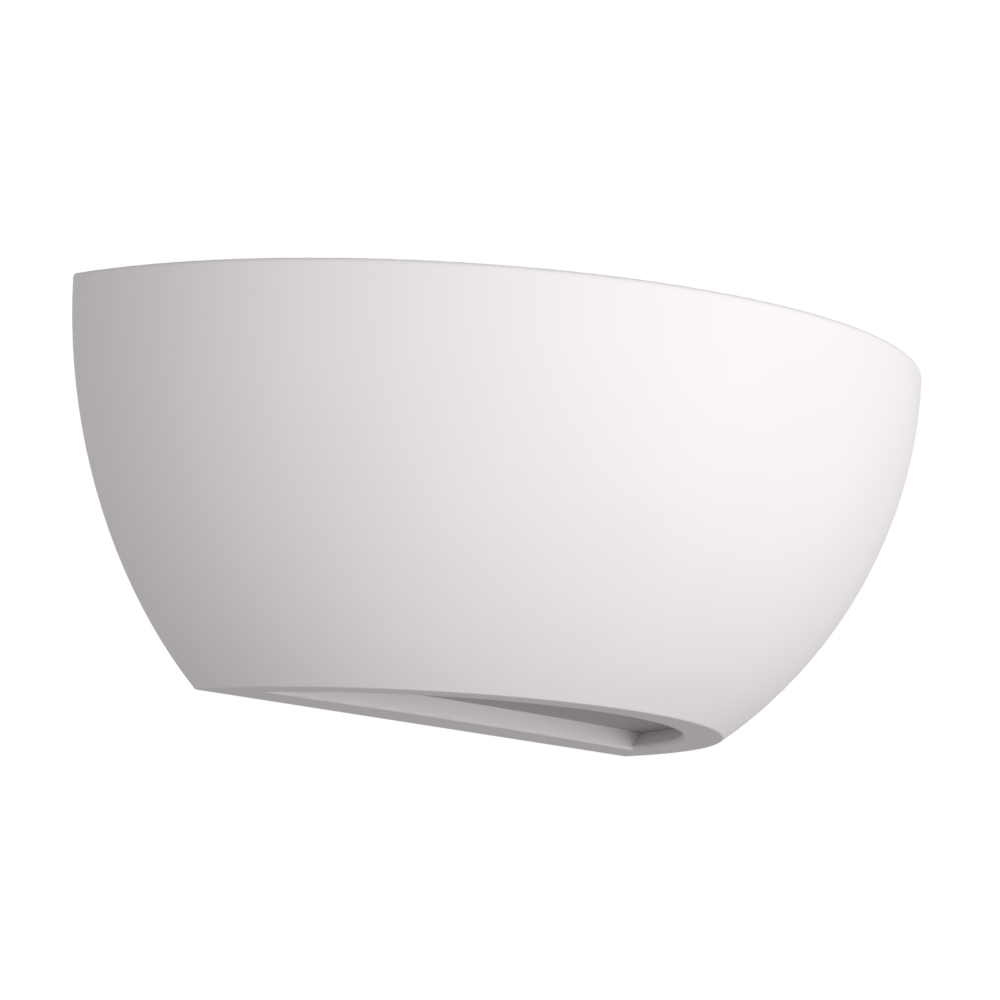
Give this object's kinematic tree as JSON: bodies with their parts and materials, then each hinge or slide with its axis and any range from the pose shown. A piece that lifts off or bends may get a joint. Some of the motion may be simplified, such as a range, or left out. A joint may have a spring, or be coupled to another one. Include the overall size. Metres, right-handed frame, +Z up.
{
  "type": "wall uplighter",
  "caption": "Wall uplighter: a matt white half bowl in cast plaster, open above, with a frosted glass pane in its flat bottom and a linear lamp on a folded carriage inside.",
  "frame": {"origin": "middle between the wall fixing slots, on the wall", "axes": "+X along the wall to the right seen from the room, +Y into the wall, +Z up"},
  "size_m": [0.3, 0.15, 0.115],
  "materials": {
    "cast_plaster": "matte",
    "frosted_glass": "matte",
    "zinc_plated_steel": "satin",
    "silicone_rubber": "matte",
    "moulded_polyamide": "satin",
    "brass": "satin",
    "white_painted_steel": "satin",
    "bright_aluminium": "polished",
    "rivet_aluminium": "satin",
    "steatite": "matte",
    "nickel_plated_brass": "gloss",
    "spring_steel": "satin",
    "quartz_glass": "gloss",
    "tungsten": "matte",
    "brown_sleeving": "matte",
    "blue_sleeving": "matte",
    "green_yellow_sleeving": "matte"
  },
  "bodies": {
    "fitting": {"plaster_shell": "cast_plaster", "diffuser_pane": "frosted_glass", "wall_plate": "zinc_plated_steel", "plate_studs": "zinc_plated_steel", "carriage_washers": "zinc_plated_steel", "thumb_nuts": "zinc_plated_steel", "earth_stud": "zinc_plated_steel", "earth_washers": "zinc_plated_steel", "earth_nut": "zinc_plated_steel", "earth_tag_screw": "zinc_plated_steel", "earth_tag_nut": "zinc_plated_steel", "lampholder_screws": "zinc_plated_steel", "terminal_fixing_screws": "zinc_plated_steel", "terminal_screws": "zinc_plated_steel", "cable_grommet": "silicone_rubber", "wire_bushes": "silicone_rubber", "terminal_block": "moulded_polyamide", "terminal_inserts": "brass", "lamp_carriage": "white_painted_steel", "reflector": "bright_aluminium", "reflector_rivets": "rivet_aluminium", "sprung_lampholder": "steatite", "fixed_lampholder": "steatite", "holder_end_plugs": "steatite", "fixed_contact": "nickel_plated_brass", "contact_tags": "brass", "contact_spring": "spring_steel", "live_wire": "brown_sleeving", "neutral_wire": "blue_sleeving", "earth_wire": "green_yellow_sleeving", "earth_tag": "brass"},
    "lamp": {"lamp_tube": "quartz_glass", "lamp_filament": "tungsten", "lamp_caps": "steatite", "lamp_contacts": "nickel_plated_brass"},
    "contact": {"contact_plunger": "nickel_plated_brass"}
  },
  "joints": [
    {"name": "lamp_shift", "type": "slide", "parent": "fitting", "child": "lamp", "axis": [-1, 0, 0], "range_m": [0, 0.0035]},
    {"name": "contact_press", "type": "slide", "parent": "fitting", "child": "contact", "axis": [-1, 0, 0], "range_m": [0, 0.0035], "stiffness_N_per_m": 740, "springref_m": -0.0065, "deforming": ["contact_spring"]}
  ],
  "couplings": [
    {"joint": "contact_press", "follows": "lamp_shift", "ratio": 1}
  ]
}
